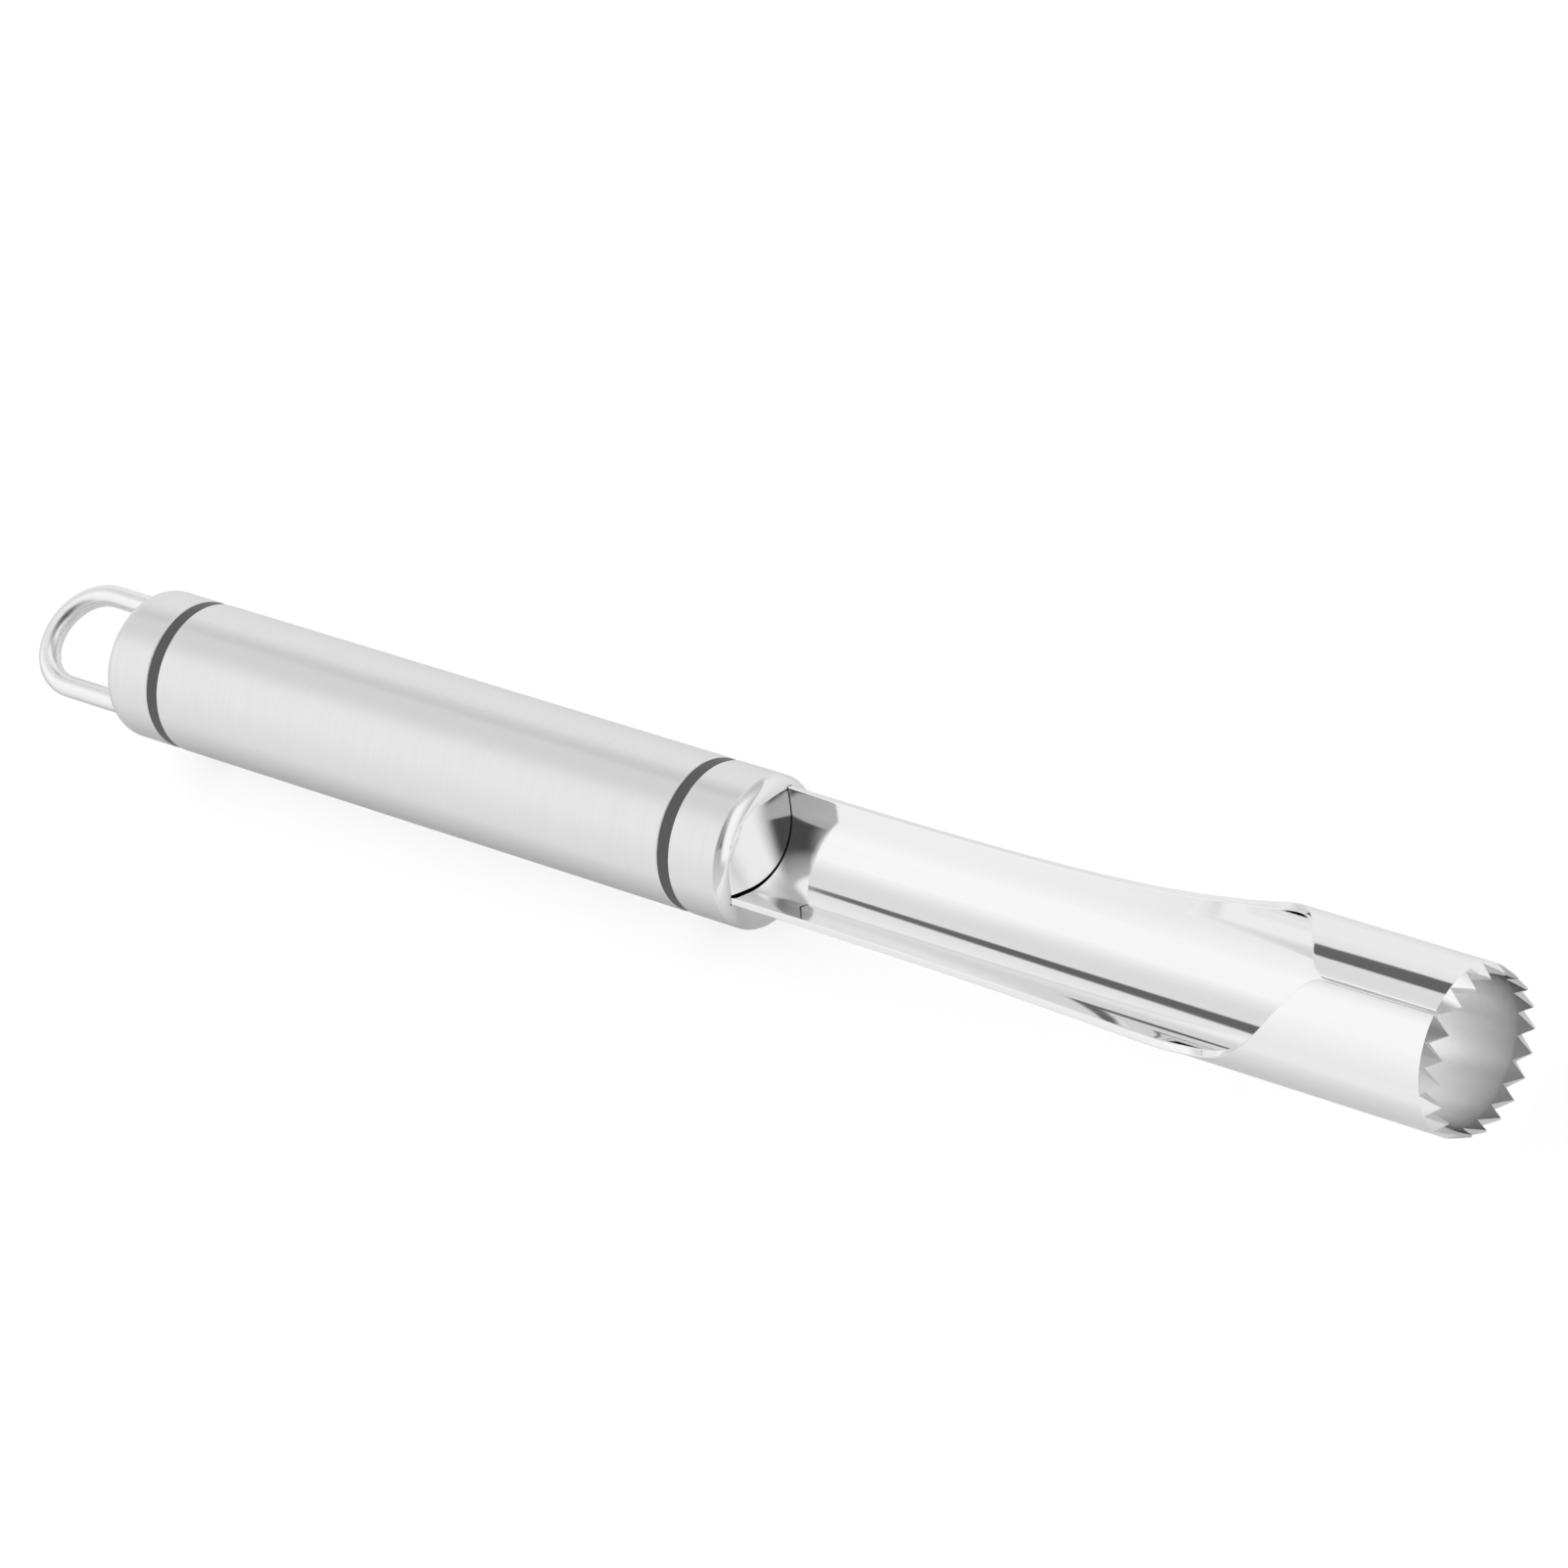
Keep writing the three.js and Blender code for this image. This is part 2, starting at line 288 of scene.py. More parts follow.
# revolve (x, radius) points about the handle's axis; a profile that starts off the axis closes on itself
def turned(name, points, sides, material):
    shell = bmesh.new()
    rings = []
    for x, radius in points:
        if radius < tiny:
            rings.append([shell.verts.new((x, 0, axisZ))])
            continue
        spots = [2 * math.pi * i / sides for i in range(sides)]
        rings.append([shell.verts.new((x, radius * math.sin(a), axisZ + radius * math.cos(a)))
                      for a in spots])
    pairs = list(zip(rings, rings[1:]))
    if len(rings[0]) > 1:
        pairs.append((rings[-1], rings[0]))
    for a, b in pairs:
        for i in range(sides):
            j = (i + 1) % sides
            corners = [a[i % len(a)], a[j % len(a)], b[j % len(b)], b[i % len(b)]]
            shell.faces.new(list(dict.fromkeys(corners)))
    bmesh.ops.recalc_face_normals(shell, faces=shell.faces)
    mesh = meshFrom(name, shell)
    mesh.shade_smooth()
    mesh.set_sharp_from_angle(angle=creaseAngle)
    return meshObject(name, mesh, material)


# cut the tools out of a turned piece, then give the faces that are left of it their exact normals
def cutAway(piece, tools, exactNormal):
    for tool in tools:
        cut = piece.modifiers.new("cut", "BOOLEAN")
        cut.solver = "EXACT"
        cut.object = tool
    depsgraph = bpy.context.evaluated_depsgraph_get()
    mesh = bpy.data.meshes.new_from_object(piece.evaluated_get(depsgraph))
    material = piece.data.materials[0]
    piece.modifiers.clear()
    piece.data = mesh
    mesh.materials.clear()
    mesh.materials.append(material)
    for tool in tools:
        bpy.data.objects.remove(tool)
    mesh.shade_smooth()
    mesh.set_sharp_from_angle(angle=creaseAngle)
    normals = [Vector(c.vector) for c in mesh.corner_normals]
    for face in mesh.polygons:
        wanted = exactNormal(face.center)
        if wanted is None or wanted.dot(face.normal) < faceMatch:
            continue
        for corner in face.loop_indices:
            spot = mesh.vertices[mesh.loops[corner].vertex_index].co
            normals[corner] = exactNormal(spot) or normals[corner]
    mesh.normals_split_custom_set(normals)
    return piece


def takePlaceOf(piece, node):
    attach(piece, "root")
    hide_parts(node)
    return piece


# Handle tube, its rings and the rear cap

handleSizes = dict(wall=0.6 * mm, edge=0.15 * mm, sides=160)
ringSizes = dict(bore=0.6 * mm, recess=0.1 * mm, edge=0.08 * mm, sides=160)
capSizes = dict(wall=0.8 * mm, floor=1.2 * mm, corner=2.1 * mm, cornerSteps=20, edge=0.15 * mm, sides=160)


def roundedTube(start, end, bore, radius, edge):
    front = arcPoints(end - edge, radius - edge, edge, math.pi / 2, 0, edgeSteps)
    rear = arcPoints(start + edge, radius - edge, edge, 0, -math.pi / 2, edgeSteps)
    return withSupport([(end, bore)] + front + rear + [(start, bore)])


def makeHandle(material):
    sizes = handleSizes
    bore = handleRadius - sizes["wall"]
    points = roundedTube(handleLow.x, handleHigh.x, bore, handleRadius, sizes["edge"])
    return turned("handleTube", points, sizes["sides"], material)


def makeRing(name, node, material):
    sizes = ringSizes
    low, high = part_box(node)
    bore, outside = handleRadius - sizes["bore"], handleRadius - sizes["recess"]
    points = roundedTube(low.x, high.x, bore, outside, sizes["edge"])
    return turned(name, points, sizes["sides"], material)


loopSizes = dict(wire=2.8 * mm, legDepth=17 * mm, clearance=0.2 * mm, holeSides=40, sides=32,
                 bendSteps=48, legSteps=12)


# drill for one leg of the loop
def legTool(side, start, end):
    radius = loopSizes["wire"] / 2 + loopSizes["clearance"]
    shell = bmesh.new()
    bmesh.ops.create_cone(shell, cap_ends=True, segments=loopSizes["holeSides"], radius1=radius,
                          radius2=radius, depth=end - start)
    turn = Matrix.Rotation(math.pi / 2, 4, "Y")
    bmesh.ops.transform(shell, verts=shell.verts,
                        matrix=Matrix.Translation(((start + end) / 2, side, loopMiddleZ)) @ turn)
    return meshObject("legTool", meshFrom("legTool", shell))


def makeCap(material):
    sizes = capSizes
    edge, corner = sizes["edge"], sizes["corner"]
    end, joint = capLow.x, capHigh.x
    floorX = end + sizes["floor"]
    bore = handleRadius - sizes["wall"]
    cornerX, cornerRing = end + corner, handleRadius - corner
    lip = arcPoints(joint - edge, handleRadius - edge, edge, math.pi / 2, 0, edgeSteps)
    rounded = arcPoints(cornerX, cornerRing, corner, 0, -math.pi / 2, sizes["cornerSteps"])
    inside = [(floorX, 0), (floorX, bore), (joint, bore)]
    points = withSupport(inside + lip + rounded + [(end, 0)])
    cap = turned("rearCap", points, sizes["sides"], material)
    legSide = loopHigh.y - loopSizes["wire"] / 2
    tools = [legTool(side, end - overshoot, floorX + overshoot) for side in (-legSide, legSide)]

    def exactNormal(spot):
        radial = Vector((0, spot.y, spot.z - axisZ))
        if spot.x > joint - edge or radial.length < tiny:
            return None
        if spot.x >= cornerX:
            return radial.normalized() if radial.length > bore + onFace else None
        if radial.length <= cornerRing:
            return Vector((-1, 0, 0)) if spot.x < end + onFace else None
        centre = radial.normalized() * cornerRing + Vector((cornerX, 0, axisZ))
        return (spot - centre).normalized()

    return cutAway(cap, tools, exactNormal)


# Front ferrule with its domed face and the arc slot for the blade

ferruleSizes = dict(wall=0.8 * mm, boreDepth=5 * mm, cornerRadius=0.6 * mm, cornerTurn=38.0,
                    shoulderRadius=3.5 * mm, domeRadius=24.5 * mm, length=9.55 * mm, edge=0.15 * mm,
                    slotInside=0.2 * mm, slotLean=0.1 * mm, slotOutside=0.1 * mm, slotEnds=0.05 * mm,
                    slotSteps=64, arcSteps=(40, 20, 12), sides=192)
bladeSizes = dict(diameter=19.8 * mm, sheet=1.0 * mm, reach=114 * mm, troughWidth=17.5 * mm,
                  closedLength=18.3 * mm, flareLength=80 * mm, flareHold=0.76, flareTurn=0.15,
                  flareTurnRise=0.85, flareSteps=160, seamGap=0.3 * mm, seamCorner=1.2 * mm,
                  seamCornerSteps=16, teeth=20, toothDepth=2.2 * mm, tipSheet=0.25 * mm,
                  shoulderSink=0.8 * mm, lip=2.4 * mm, lipFade=(24.5 * mm, 13.5 * mm),
                  tangWidth=11.4 * mm, tangLength=14 * mm, edgeRound=0.16 * mm, crease=14.0,
                  toothColumns=8, edgeColumns=8, rows=170, toothRows=8)
bladeAxisZ = bladeHigh.z - bladeSizes["diameter"] / 2
sheetMiddle = bladeSizes["diameter"] / 2 - bladeSizes["sheet"] / 2
seamX = ferruleLow.x + bladeSizes["reach"] - bladeSizes["closedLength"]
rootX = ferruleLow.x + bladeSizes["reach"] - bladeSizes["toothDepth"]


# (y, z) of the rolled trough at an offset across its blank, with the lips left straight
def sheetSpot(radius, offset):
    limit = bladeSizes["troughWidth"] / 2 - bladeSizes["lip"]
    rolled = min(max(offset, -limit), limit)
    turn, straight = rolled / sheetMiddle, offset - rolled
    return (-radius * math.sin(turn) - straight * math.cos(turn),
            bladeAxisZ - radius * math.cos(turn) + straight * math.sin(turn))


def slotTool(start, end):
    sizes = ferruleSizes
    steps = sizes["slotSteps"]
    outer = bladeSizes["diameter"] / 2 + sizes["slotOutside"]
    inner = bladeSizes["diameter"] / 2 - bladeSizes["sheet"] - sizes["slotInside"]
    half = bladeSizes["troughWidth"] / 2 + sizes["slotEnds"]
    offsets = [half * (2 * i / steps - 1) for i in range(steps + 1)]
    lean = sizes["slotLean"] / half
    outline = [sheetSpot(outer, t) for t in offsets]
    outline += [sheetSpot(inner - lean * t, t) for t in reversed(offsets)]
    shell = bmesh.new()
    ends = [[shell.verts.new((x, y, z)) for y, z in outline] for x in (start, end)]
    count = len(outline)
    for i in range(count):
        j = (i + 1) % count
        shell.faces.new((ends[0][i], ends[0][j], ends[1][j], ends[1][i]))
    for i in range(steps):
        for ring in ends:
            shell.faces.new((ring[i], ring[i + 1], ring[count - 2 - i], ring[count - 1 - i]))
    bmesh.ops.recalc_face_normals(shell, faces=shell.faces)
    return meshObject("slotTool", meshFrom("slotTool", shell))


# dome, shoulder and corner of the front as tangent arcs: (centre x, centre radius, radius, start, end)
def ferruleArcs():
    sizes = ferruleSizes
    first = math.radians(sizes["cornerTurn"])
    corner, shoulder, dome = sizes["cornerRadius"], sizes["shoulderRadius"], sizes["domeRadius"]
    cornerRing = handleRadius - corner
    shoulderRing = cornerRing - (shoulder - corner) * math.cos(first)
    meet = math.acos(shoulderRing / (dome - shoulder))
    domeX = ferruleLow.x + sizes["length"] - dome
    shoulderX = domeX + (dome - shoulder) * math.sin(meet)
    cornerX = shoulderX + (shoulder - corner) * math.sin(first)
    return [(domeX, 0, dome, math.pi / 2, meet), (shoulderX, shoulderRing, shoulder, meet, first),
            (cornerX, cornerRing, corner, first, 0)]


# x where each arc of the front ends: dome, shoulder, corner
def ferruleStops():
    return [x + radius * math.sin(end) for x, _, radius, _, end in ferruleArcs()]


def makeFerrule(material):
    sizes = ferruleSizes
    edge = sizes["edge"]
    start = ferruleLow.x
    boreEnd = start + sizes["boreDepth"]
    bore = handleRadius - sizes["wall"]
    arcs, stops = ferruleArcs(), ferruleStops()
    front = [p for arc, steps in zip(arcs, sizes["arcSteps"]) for p in arcPoints(*arc, steps)[:-1]]
    front[0] = (front[0][0], 0)
    front.append((stops[-1], handleRadius))
    lip = arcPoints(start + edge, handleRadius - edge, edge, 0, -math.pi / 2, edgeSteps)
    inside = [(start, bore), (boreEnd, bore), (boreEnd, 0)]
    ferrule = turned("frontFerrule", withSupport(front + lip + inside), sizes["sides"], material)

    def exactNormal(spot):
        radial = Vector((0, spot.y, spot.z - axisZ))
        if spot.x < start + edge or radial.length < bore + onFace and spot.x < stops[-1]:
            return None
        for (x, ring, *_), stop in zip(arcs, stops):
            if spot.x >= stop - tiny:
                return (spot - radial.normalized() * ring - Vector((x, 0, axisZ))).normalized()
        return radial.normalized()

    tool = slotTool(boreEnd - overshoot, ferruleHigh.x + 2 * overshoot)
    return cutAway(ferrule, [tool], exactNormal)


# Node trees for the shapes that follow a rule

def newTree(name, inputs):
    tree = bpy.data.node_groups.new(name, "GeometryNodeTree")
    tree.interface.new_socket("Geometry", in_out="INPUT", socket_type="NodeSocketGeometry")
    tree.interface.new_socket("Geometry", in_out="OUTPUT", socket_type="NodeSocketGeometry")
    for label, kind in inputs:
        tree.interface.new_socket(label, in_out="INPUT", socket_type=kind)
    return tree, addNode(tree, "NodeGroupInput"), addNode(tree, "NodeGroupOutput")


def closeTree(tree, geometry, material, output):
    smooth = addNode(tree, "GeometryNodeSetShadeSmooth")
    realize = addNode(tree, "GeometryNodeRealizeInstances")
    paint = addNode(tree, "GeometryNodeSetMaterial")
    plug(tree, smooth.inputs["Geometry"], geometry)
    plug(tree, realize.inputs["Geometry"], smooth.outputs["Geometry"])
    plug(tree, paint.inputs["Geometry"], realize.outputs["Geometry"])
    plug(tree, paint.inputs["Material"], material)
    plug(tree, output.inputs["Geometry"], paint.outputs["Geometry"])


# run a tree on a line of points and keep the result as a plain mesh
def grow(name, line, tree, values, crease):
    base = bpy.data.meshes.new(name)
    base.from_pydata(line, [(i, i + 1) for i in range(len(line) - 1)], [])
    piece = meshObject(name, base)
    modifier = piece.modifiers.new(tree.name, "NODES")
    modifier.node_group = tree
    for item in tree.interface.items_tree:
        if item.in_out == "INPUT" and item.name in values:
            modifier[item.identifier] = values[item.name]
    depsgraph = bpy.context.evaluated_depsgraph_get()
    mesh = bpy.data.meshes.new_from_object(piece.evaluated_get(depsgraph))
    piece.modifiers.clear()
    piece.data = mesh
    bpy.data.meshes.remove(base)
    mesh.name = name
    mesh.set_sharp_from_angle(angle=crease)
    return piece


# wire bent along the input line
def wireTree():
    tree, given, output = newTree("bendWire", [
        ("Wire Radius", "NodeSocketFloat"), ("Sides", "NodeSocketInt"),
        ("Material", "NodeSocketMaterial")])
    line = addNode(tree, "GeometryNodeMeshToCurve")
    section = addNode(tree, "GeometryNodeCurvePrimitiveCircle")
    sweep = addNode(tree, "GeometryNodeCurveToMesh")
    plug(tree, line.inputs["Mesh"], given.outputs["Geometry"])
    plug(tree, section.inputs["Resolution"], given.outputs["Sides"])
    plug(tree, section.inputs["Radius"], given.outputs["Wire Radius"])
    plug(tree, sweep.inputs["Curve"], line.outputs["Curve"])
    plug(tree, sweep.inputs["Profile Curve"], section.outputs["Curve"])
    sweep.inputs["Fill Caps"].default_value = True
    closeTree(tree, sweep.outputs["Mesh"], given.outputs["Material"], output)
    return tree


def makeLoop(material):
    sizes = loopSizes
    legSteps, bendSteps = sizes["legSteps"], sizes["bendSteps"]
    side = loopHigh.y - sizes["wire"] / 2
    bendX = loopLow.x + sizes["wire"] / 2 + side
    legEnd = capLow.x + sizes["legDepth"]
    leg = [legEnd + (bendX - legEnd) * i / legSteps for i in range(legSteps)]
    bend = [math.pi * i / bendSteps for i in range(bendSteps + 1)]
    line = [(x, -side, loopMiddleZ) for x in leg]
    line += [(bendX - side * math.sin(t), -side * math.cos(t), loopMiddleZ) for t in bend]
    line += [(x, side, loopMiddleZ) for x in reversed(leg)]
    return grow("hangingLoop", line, wireTree(), {
        "Wire Radius": sizes["wire"] / 2, "Sides": sizes["sides"], "Material": material}, creaseAngle)


# flat blank rolled round the blade's axis; the input line is the blank's edge as (x, half width, lip),
# where the lip is the strip along the edge that the rolls leave straight
def bladeTree():
    tree, given, output = newTree("rollBlade", [
        ("Radius", "NodeSocketFloat"), ("Sheet", "NodeSocketFloat"), ("Axis Height", "NodeSocketFloat"),
        ("Rows", "NodeSocketInt"), ("Tooth Rows", "NodeSocketInt"), ("Teeth", "NodeSocketInt"),
        ("Tooth Columns", "NodeSocketInt"), ("Edge Columns", "NodeSocketInt"),
        ("Tooth Depth", "NodeSocketFloat"), ("Tip Sheet", "NodeSocketFloat"),
        ("Edge Round", "NodeSocketFloat"), ("Material", "NodeSocketMaterial")])
    sizes = given.outputs

    def maths(operation, *values):
        return calc(tree, operation, *values)

    def mark(geometry, name, domain, value):
        store = addNode(tree, "GeometryNodeStoreNamedAttribute", data_type="FLOAT", domain=domain)
        plug(tree, store.inputs["Geometry"], geometry)
        store.inputs["Name"].default_value = name
        plug(tree, store.inputs["Value"], value)
        return store.outputs["Geometry"]

    edge = addNode(tree, "GeometryNodeMeshToCurve")
    plug(tree, edge.inputs["Mesh"], sizes["Geometry"])
    mainColumns = maths("MULTIPLY", sizes["Teeth"], sizes["Tooth Columns"])
    allColumns = maths("ADD", mainColumns, maths("MULTIPLY", sizes["Edge Columns"], 2.0))
    allRows = maths("ADD", sizes["Rows"], sizes["Tooth Rows"])
    slab = addNode(tree, "GeometryNodeMeshCube")
    plug(tree, slab.inputs["Vertices X"], maths("ADD", allRows, 1.0))
    plug(tree, slab.inputs["Vertices Y"], maths("ADD", allColumns, 1.0))
    slab.inputs["Vertices Z"].default_value = 2

    # the slab runs from -0.5 to 0.5 each way
    slabAxes = splitAxes(tree, addNode(tree, "GeometryNodeInputPosition").outputs[0])
    row = maths("MULTIPLY", maths("ADD", slabAxes["X"], 0.5), allRows)
    column = maths("MULTIPLY", maths("ADD", slabAxes["Y"], 0.5), allColumns)
    layer = maths("ADD", slabAxes["Z"], 0.5)

    # along the blank: rows up to the tooth roots follow the edge line, the rest fill the teeth
    toRoots = maths("MINIMUM", maths("DIVIDE", row, sizes["Rows"]), 1.0)
    pastRoots = maths("DIVIDE", maths("SUBTRACT", row, sizes["Rows"]), sizes["Tooth Rows"])
    intoTooth = maths("MAXIMUM", pastRoots, 0.0)
    sample = addNode(tree, "GeometryNodeSampleCurve", mode="FACTOR")
    plug(tree, sample.inputs["Curves"], edge.outputs["Curve"])
    plug(tree, sample.inputs["Factor"], toRoots)
    edgeX, halfWidth, lip = splitAxes(tree, sample.outputs["Position"])

    # across the blank: even columns between the two rounded edges
    across = maths("DIVIDE", maths("SUBTRACT", column, sizes["Edge Columns"]), mainColumns)
    inner = maths("MINIMUM", maths("MAXIMUM", across, 0.0), 1.0)
    past = maths("MULTIPLY", maths("SUBTRACT", across, inner), mainColumns)
    edgeTurn = maths("MULTIPLY", maths("DIVIDE", past, sizes["Edge Columns"]), math.pi / 2)
    flatHalf = maths("SUBTRACT", halfWidth, sizes["Edge Round"])
    side = maths("SUBTRACT", maths("MULTIPLY", inner, 2.0), 1.0)
    offset = maths("ADD", maths("MULTIPLY", side, flatHalf),
                   maths("MULTIPLY", maths("SINE", edgeTurn), sizes["Edge Round"]))
    shrink = maths("MULTIPLY", maths("SUBTRACT", 1.0, maths("COSINE", edgeTurn)), sizes["Edge Round"])

    # roll it up to the lips
    middle = maths("SUBTRACT", sizes["Radius"], maths("MULTIPLY", sizes["Sheet"], 0.5))
    rolledHalf = maths("SUBTRACT", halfWidth, lip)
    rolled = maths("MAXIMUM", offset, maths("MULTIPLY", rolledHalf, -1.0))
    rolled = maths("MINIMUM", rolled, rolledHalf)
    straight = maths("SUBTRACT", offset, rolled)
    angle = maths("DIVIDE", rolled, middle)
    sine, cosine = maths("SINE", angle), maths("COSINE", angle)

    # teeth: roots on whole counts, tips halfway, ground thin from the outside
    count = maths("FRACT", maths("MULTIPLY", inner, sizes["Teeth"]))
    fromTip = maths("ABSOLUTE", maths("SUBTRACT", maths("MULTIPLY", count, 2.0), 1.0))
    tooth = maths("MULTIPLY", maths("SUBTRACT", 1.0, fromTip), intoTooth)
    ground = maths("MULTIPLY", tooth, maths("SUBTRACT", sizes["Sheet"], sizes["Tip Sheet"]))
    wall = maths("SUBTRACT", sizes["Sheet"], ground)
    bore = maths("SUBTRACT", sizes["Radius"], sizes["Sheet"])
    inwards = maths("SUBTRACT", 1.0, maths("MULTIPLY", layer, 2.0))
    fromBore = maths("ADD", maths("MULTIPLY", layer, wall), maths("MULTIPLY", inwards, shrink))
    radius = maths("ADD", bore, fromBore)

    sideways = maths("ADD", maths("MULTIPLY", radius, sine), maths("MULTIPLY", straight, cosine))
    down = maths("SUBTRACT", maths("MULTIPLY", radius, cosine), maths("MULTIPLY", straight, sine))
    spot = addNode(tree, "ShaderNodeCombineXYZ")
    plug(tree, spot.inputs["X"], maths("ADD", edgeX, maths("MULTIPLY", tooth, sizes["Tooth Depth"])))
    plug(tree, spot.inputs["Y"], maths("MULTIPLY", sideways, -1.0))
    plug(tree, spot.inputs["Z"], maths("SUBTRACT", sizes["Axis Height"], down))

    # the bore side and the cut end get finishes of their own; only the end's faces lie on the last row
    rowSlack = 0.1
    lastRow = maths("GREATER_THAN", row, maths("SUBTRACT", allRows, rowSlack))
    marked = mark(slab.outputs["Mesh"], "boreSide", "POINT", maths("SUBTRACT", 1.0, layer))
    marked = mark(marked, "cutFace", "FACE", lastRow)
    roll = addNode(tree, "GeometryNodeSetPosition")
    plug(tree, roll.inputs["Geometry"], marked)
    plug(tree, roll.inputs["Position"], spot.outputs["Vector"])
    closeTree(tree, roll.outputs["Geometry"], sizes["Material"], output)
    return tree


def bezier(points, steps):
    made = []
    for i in range(steps + 1):
        t, row = i / steps, [Vector(p) for p in points]
        while len(row) > 1:
            row = [a.lerp(b, t) for a, b in zip(row, row[1:])]
        made.append(row[0])
    return made


# smooth step from 0 at the first value to 1 at the second
def ease(value, first, second):
    share = min(max((value - first) / (second - first), 0), 1)
    return share * share * (3 - 2 * share)


# edge of the flat blank from the tang to the tooth roots, as (x, half width, straight lip)
def blankEdge():
    sizes = bladeSizes
    shoulder = ferruleStops()[0] - sizes["shoulderSink"]
    length, corner, rise = sizes["flareLength"], sizes["seamCorner"], sizes["flareTurnRise"]
    flareX = seamX - length
    trough, closed = sizes["troughWidth"] / 2, math.pi * sheetMiddle - sizes["seamGap"] / 2
    tang, boreEnd = sizes["tangWidth"] / 2, ferruleLow.x + ferruleSizes["boreDepth"]

    # share of the way from trough to closed tube, by x
    turnEnd = (seamX - corner, 1 - rise / sizes["flareTurn"] / length * corner)
    hold, turn = (flareX + sizes["flareHold"] * length, 0), (seamX - sizes["flareTurn"] * length, 1 - rise)
    flare = bezier([(flareX, 0), hold, turn, turnEnd], sizes["flareSteps"])
    flare += bezier([turnEnd, (seamX, 1), (seamX + corner, 1)], sizes["seamCornerSteps"])[1:]

    line = [(boreEnd - sizes["tangLength"], tang, 0), (boreEnd, tang, 0), (shoulder, trough, sizes["lip"])]
    for p in flare:
        lip = sizes["lip"] * (1 - ease(seamX - p.x, *sizes["lipFade"]))
        line.append((p.x, trough + p.y * (closed - trough), lip))
    return line + [(rootX, closed, 0)]


def makeBlade(material):
    sizes = bladeSizes
    return grow("corerBlade", blankEdge(), bladeTree(), {
        "Radius": sizes["diameter"] / 2, "Sheet": sizes["sheet"], "Axis Height": bladeAxisZ,
        "Rows": sizes["rows"], "Tooth Rows": sizes["toothRows"], "Teeth": sizes["teeth"],
        "Tooth Columns": sizes["toothColumns"], "Edge Columns": sizes["edgeColumns"],
        "Tooth Depth": sizes["toothDepth"], "Tip Sheet": sizes["tipSheet"],
        "Edge Round": sizes["edgeRound"], "Material": material}, math.radians(sizes["crease"]))


# Build and place

brushedSteel = makeBrushedSteel("brushedSteel")
rimX = ferruleStops()[1]
ferruleSteel = makeBrushedSteel("ferruleSteel", (
    rimX + domeLook["polishFrom"], rimX + domeLook["polishFull"]))
bladeSteel = makePolishedSteel("bladeSteel", polishedLook, (
    seamX + boreLook["satinFrom"], seamX + boreLook["satinFull"], rootX))
wireSteel = makePolishedSteel("wireSteel", wireLook)
ringPlastic = makePlastic("ringPlastic", ringLook)
corePlastic = makePlastic("corePlastic", coreLook)
print("finishes made")

takePlaceOf(makeHandle(brushedSteel), "handle_tube")
takePlaceOf(makeRing("frontRing", "front_ring", ringPlastic), "front_ring")
takePlaceOf(makeRing("rearRing", "rear_ring", ringPlastic), "rear_ring")
takePlaceOf(makeCap(brushedSteel), "rear_cap")
takePlaceOf(makeFerrule(ferruleSteel), "front_ferrule")
print("handle made")
takePlaceOf(makeLoop(wireSteel), "hanging_loop")
blade = takePlaceOf(makeBlade(bladeSteel), "corer_blade")
print("loop and blade made:", len(blade.data.polygons), "blade faces")

# sealed in the handle, so these keep their solids and get a finish
for nodeName, material in (("front_plug", corePlastic), ("rear_plug", corePlastic),
                           ("blade_pin", wireSteel)):
    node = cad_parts[nodeName]
    node.data.materials.clear()
    node.data.materials.append(material)


# Floor, studio light and camera

# glow that fills the floor out to white; metal sees less of it, and least beside the tool, where the
# fall-off is a painted shadow of the tool on the floor as the metal sees it
floorLook = dict(size=8.0, drop=0.02 * mm, tone=0.8, glow=0.54, metalGlow=0.34, paintedFloorShadeCore=2 * mm,
                 paintedFloorShadeReach=70 * mm, paintedFloorShadeMiddle=-13 * mm, paintedFloorShadeAlong=0.14)
# brightness behind the tool, round the X axis, as (turn in degrees from straight up towards -Y, tone)
rearTones = [(-180, 0.82), (-120, 0.88), (-85, 0.90), (-66, 0.84), (-40, 0.75), (-22, 0.76),
             (-8, 0.88), (8, 1.07), (26, 1.10), (46, 0.97), (90, 0.87), (125, 0.77), (180, 0.70)]
# dark gap between the soft boxes behind the tool; its tones and widths follow the direction's x
gapLook = dict(tones=(0.62, 0.13), toneAt=(-0.5886, -0.588), soft=1.6, thinAt=-0.59, wideAt=-0.52,
               turns=(-49.0, -53.5), widths=(3.4, 9.4), endAt=(-0.5, -0.4))
# soft boxes and the dark opening on the camera's side, in the camera's right and up; frontAt is the
# direction's x where this side takes over from the rear
frontLook = dict(lowTones=(0.66, 0.46), lowUp=(-0.8, -0.28), sideTones=(0.33, 0.5), sideUp=(0.5, 0.8),
                 meetUp=(-0.3, 0.3), leftTone=0.8, leftLean=-0.35, leftAt=(-0.48, -0.62),
                 boxTone=1.0, boxRight=(0.3, 0.82), boxUp=(-0.5, 0.62), boxSoft=(0.12, 0.22, 0.12, 0.2),
                 topTone=1.0, topUp=(0.76, 0.86), topRight=(0.15, 0.4),
                 openTone=0.07, openRight=(-0.45, 0.2), openUp=(-0.232, 0.4),
                 openSoft=(0.22, 0.07, 0.018, 0.15), frontAt=(-0.4, 0.0))
photoCamera = dict(lens=166.396, sensor=36.0, clip=(0.01, 50), place=(0.51271, -0.18561, 0.66981),
                   target=(-0.000623, 0.010377, 0.003687), roll=-46.679)


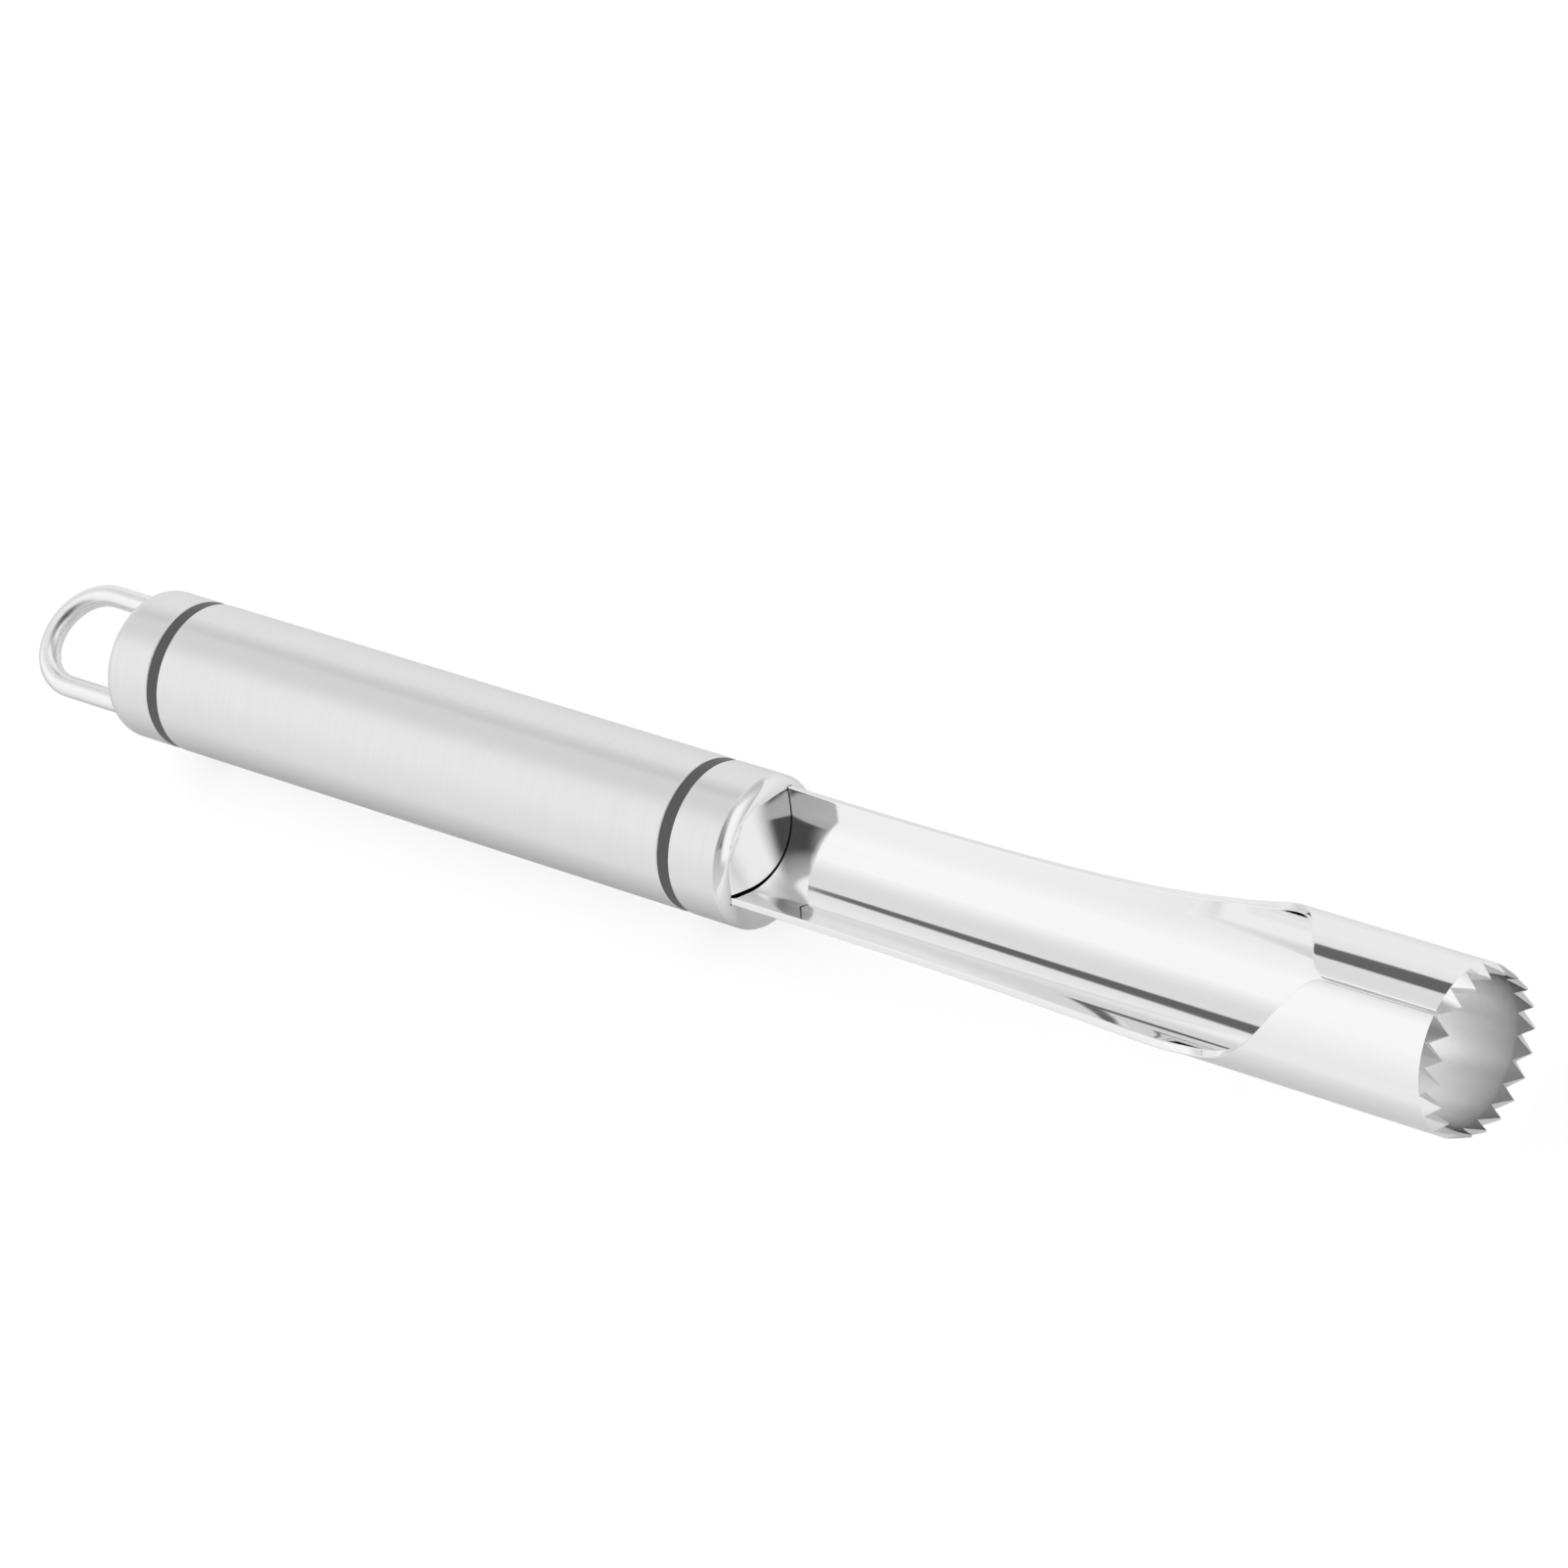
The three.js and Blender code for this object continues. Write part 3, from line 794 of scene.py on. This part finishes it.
def makeFloor():
    look = floorLook
    half, drop = look["size"] / 2, look["drop"]
    mesh = bpy.data.meshes.new("floor")
    corners = [(-half, -half, -drop), (half, -half, -drop), (half, half, -drop), (-half, half, -drop)]
    mesh.from_pydata(corners, [], [(0, 1, 2, 3)])
    material = bpy.data.materials.new("paleFloor")
    material.use_nodes = True
    tree = material.node_tree
    tree.nodes.clear()
    matt = addNode(tree, "ShaderNodeBsdfDiffuse")
    matt.inputs["Color"].default_value = (look["tone"], look["tone"], look["tone"], 1)
    glow = addNode(tree, "ShaderNodeEmission")
    path = addNode(tree, "ShaderNodeLightPath")
    inMetal = calc(tree, "MAXIMUM", path.outputs["Is Glossy Ray"], path.outputs["Is Transmission Ray"])
    place = objectPlace(tree)
    # painted shadow: the glow that metal sees is least along a line beside the tool and grows with distance
    # from it
    aside = calc(tree, "SUBTRACT", place["Y"], look["paintedFloorShadeMiddle"])
    ahead = calc(tree, "MAXIMUM", calc(tree, "SUBTRACT", place["X"], ferruleHigh.x), 0.0)
    ahead = calc(tree, "MULTIPLY", ahead, look["paintedFloorShadeAlong"])
    awayFromPaintedShade = calc(tree, "SQRT", calc(tree, "ADD", calc(tree, "MULTIPLY", aside, aside),
                                   calc(tree, "MULTIPLY", ahead, ahead)))
    share = remap(tree, awayFromPaintedShade, look["paintedFloorShadeCore"], look["paintedFloorShadeReach"], 0.0, 1.0, "LINEAR")
    metalGlow = calc(tree, "MULTIPLY", calc(tree, "SQRT", share), look["metalGlow"])
    metalGlow = calc(tree, "MULTIPLY", inMetal, metalGlow)
    whiteGlow = calc(tree, "MULTIPLY", path.outputs["Is Camera Ray"], look["glow"])
    plug(tree, glow.inputs["Strength"], calc(tree, "ADD", whiteGlow, metalGlow))
    both = addNode(tree, "ShaderNodeAddShader")
    plug(tree, both.inputs[0], matt.outputs[0])
    plug(tree, both.inputs[1], glow.outputs[0])
    output = addNode(tree, "ShaderNodeOutputMaterial")
    plug(tree, output.inputs["Surface"], both.outputs[0])
    floor = meshObject("floor", mesh, material)


def alongAxis(tree, direction, axis):
    node = addNode(tree, "ShaderNodeVectorMath", operation="DOT_PRODUCT")
    plug(tree, node.inputs[0], direction)
    node.inputs[1].default_value = axis
    return node.outputs["Value"]


# tone behind the tool, with the dark gap between its soft boxes
def rearGlow(tree, axes):
    look = gapLook
    reach = axes["X"]
    turn = calc(tree, "ARCTAN2", calc(tree, "MULTIPLY", axes["Y"], -1.0), axes["Z"])
    ramp = addNode(tree, "ShaderNodeValToRGB")
    ramp.color_ramp.interpolation = "B_SPLINE"
    stops = ramp.color_ramp.elements
    while len(stops) < len(rearTones):
        stops.new(1.0)
    for stop, (degrees, tone) in zip(stops, rearTones):
        stop.position = (degrees + 180) / 360
        stop.color = (tone, tone, tone, 1)
    plug(tree, ramp.inputs["Fac"], remap(tree, turn, -math.pi, math.pi, 0.0, 1.0, "LINEAR"))

    soft = math.radians(look["soft"])
    middle, width = (
        remap(tree, reach, look["thinAt"], look["wideAt"], math.radians(thin), math.radians(wide), "LINEAR")
        for thin, wide in (look["turns"], look["widths"]))
    apart = calc(tree, "ABSOLUTE", calc(tree, "SUBTRACT", turn, middle))
    inGap = remap(tree, calc(tree, "SUBTRACT", apart, width), -soft, soft, 1.0, 0.0)
    inGap = calc(tree, "MULTIPLY", inGap, remap(tree, reach, *look["endAt"], 1.0, 0.0))
    return mixed(tree, inGap, ramp.outputs["Color"], remap(tree, reach, *look["toneAt"], *look["tones"]))


# tone on the camera's side, from low, side and left walls to the box, the top and the opening
def frontGlow(tree, right, up):
    look = frontLook
    low = remap(tree, up, *look["lowUp"], *look["lowTones"])
    side = remap(tree, up, *look["sideUp"], *look["sideTones"])
    tone = mixed(tree, remap(tree, up, *look["meetUp"], 0.0, 1.0), low, side)
    left = calc(tree, "ADD", right, calc(tree, "MULTIPLY", up, look["leftLean"]))
    tone = mixed(tree, remap(tree, left, *look["leftAt"], 0.0, 1.0), tone, look["leftTone"])
    inBox, inOpening = (
        calc(tree, "MULTIPLY", window(tree, right, *look[part + "Right"], *look[part + "Soft"][:2]),
             window(tree, up, *look[part + "Up"], *look[part + "Soft"][2:])) for part in ("box", "open"))
    onTop = calc(tree, "MULTIPLY", remap(tree, up, *look["topUp"], 0.0, 1.0),
                 remap(tree, right, *look["topRight"], 1.0, 0.0))
    tone = mixed(tree, inBox, tone, look["boxTone"])
    tone = mixed(tree, onTop, tone, look["topTone"])
    return mixed(tree, inOpening, tone, look["openTone"])


def makeStudio(camera):
    world = bpy.data.worlds.new("studio")
    scene.world = world
    world.use_nodes = True
    tree = world.node_tree
    tree.nodes.clear()
    direction = addNode(tree, "ShaderNodeTexCoord").outputs["Generated"]
    axes = splitAxes(tree, direction)
    turnOfCamera = camera.rotation_quaternion.to_matrix()
    right, up = (alongAxis(tree, direction, turnOfCamera.col[i]) for i in (0, 1))
    inFront = remap(tree, axes["X"], *frontLook["frontAt"], 0.0, 1.0)
    tone = mixed(tree, inFront, rearGlow(tree, axes), frontGlow(tree, right, up))
    glow = addNode(tree, "ShaderNodeBackground")
    plug(tree, glow.inputs["Color"], greyFrom(tree, tone))
    output = addNode(tree, "ShaderNodeOutputWorld")
    plug(tree, output.inputs["Surface"], glow.outputs[0])


def makeCamera():
    shot = photoCamera
    camera = bpy.data.objects.new("photoCamera", bpy.data.cameras.new("photoCamera"))
    scene.collection.objects.link(camera)
    camera.data.lens = shot["lens"]
    camera.data.sensor_width = shot["sensor"]
    camera.data.clip_start, camera.data.clip_end = shot["clip"]
    towards = Vector(shot["target"]) - Vector(shot["place"])
    camera.location = shot["place"]
    camera.rotation_mode = "QUATERNION"
    roll = Quaternion((0, 0, 1), math.radians(shot["roll"]))
    camera.rotation_quaternion = towards.to_track_quat("-Z", "Y") @ roll
    scene.camera = camera
    return camera


makeFloor()
makeStudio(makeCamera())
print("stage made")
